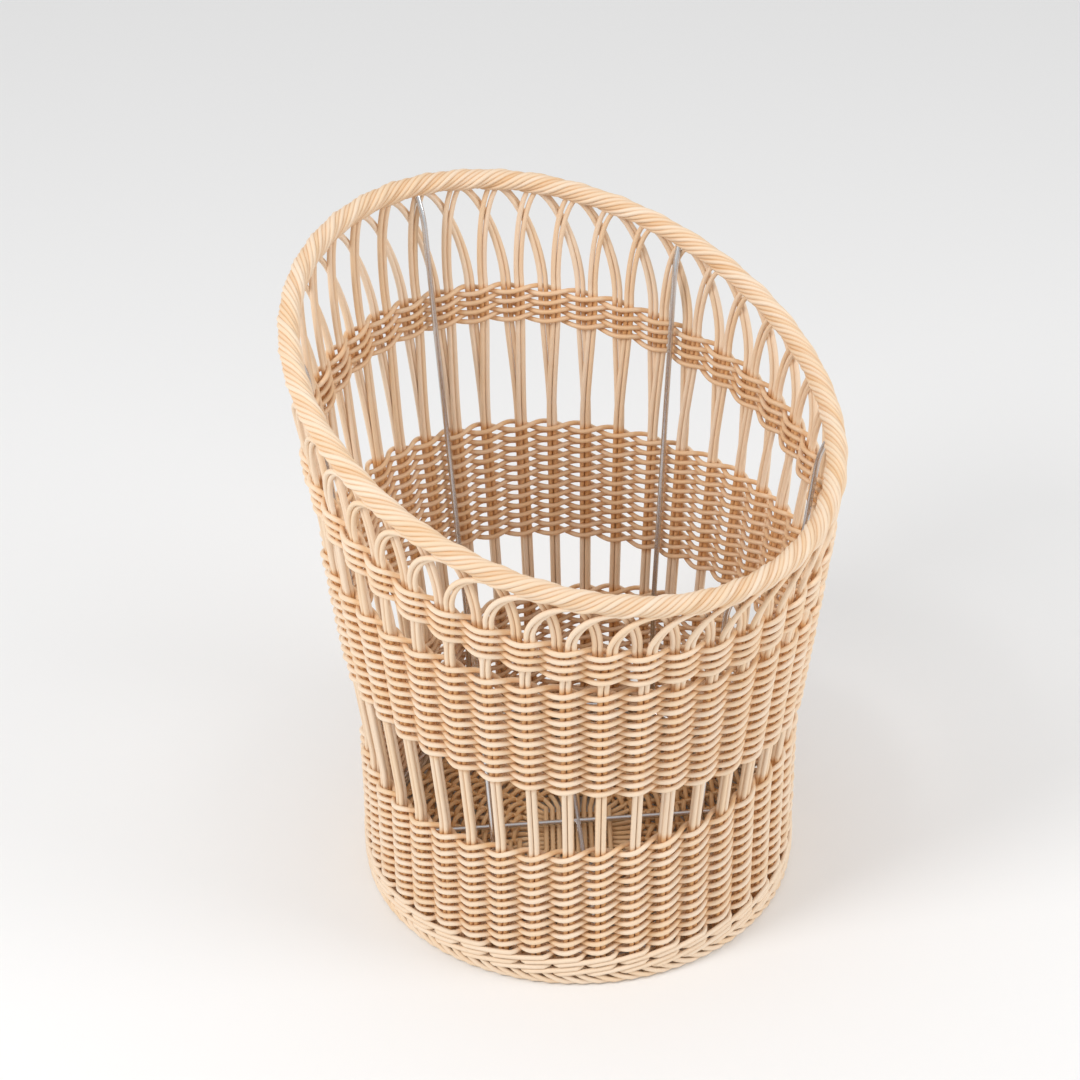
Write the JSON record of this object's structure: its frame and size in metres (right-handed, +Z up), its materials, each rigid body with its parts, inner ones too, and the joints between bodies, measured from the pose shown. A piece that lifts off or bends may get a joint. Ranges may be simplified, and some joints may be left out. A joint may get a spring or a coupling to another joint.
{
  "type": "bread basket",
  "caption": "Round woven bread basket for long loaves, with a flared wall, open bands between the weaves and a leaning rope rim over a steel wire frame.",
  "frame": {"origin": "centre of the foot ring, on the floor it stands on", "axes": "+Z up along the axis of the foot, -Y to the front, +X to the right as seen from the front"},
  "size_m": [0.384, 0.384, 0.4808],
  "materials": {
    "cane": "round extruded plastic cane, satin, cream with a slight tan shift from strand to strand",
    "base_cane": "the same plastic cane, a little darker in the shade of the basket",
    "wire_steel": "bright drawn steel wire"
  },
  "bodies": {
    "root": {"foot_border": "cane", "lower_weave": "cane", "middle_weave": "cane", "collar_weave": "cane", "rim_border": "cane", "side_stake_1": "cane", "side_stake_2": "cane", "side_stake_3": "cane", "side_stake_4": "cane", "side_stake_5": "cane", "side_stake_6": "cane", "side_stake_7": "cane", "side_stake_8": "cane", "side_stake_9": "cane", "side_stake_10": "cane", "side_stake_11": "cane", "side_stake_12": "cane", "side_stake_13": "cane", "side_stake_14": "cane", "side_stake_15": "cane", "side_stake_16": "cane", "side_stake_17": "cane", "side_stake_18": "cane", "side_stake_19": "cane", "side_stake_20": "cane", "side_stake_21": "cane", "side_stake_22": "cane", "side_stake_23": "cane", "side_stake_24": "cane", "side_stake_25": "cane", "side_stake_26": "cane", "side_stake_27": "cane", "side_stake_28": "cane", "side_stake_29": "cane", "side_stake_30": "cane", "side_stake_31": "cane", "side_stake_32": "cane", "side_stake_33": "cane", "side_stake_34": "cane", "side_stake_35": "cane", "side_stake_36": "cane", "side_stake_37": "cane", "side_stake_38": "cane", "side_stake_39": "cane", "side_stake_40": "cane", "side_stake_41": "cane", "side_stake_42": "cane", "base_weave": "base_cane", "base_spokes_lower": "base_cane", "base_spokes_upper": "base_cane", "base_ring_wire": "wire_steel", "base_cross_wire": "wire_steel", "rim_ring_wire": "wire_steel", "upright_wire_1": "wire_steel", "upright_wire_2": "wire_steel", "upright_wire_3": "wire_steel", "upright_wire_4": "wire_steel", "upright_wire_5": "wire_steel", "upright_wire_6": "wire_steel"}
  },
  "joints": []
}
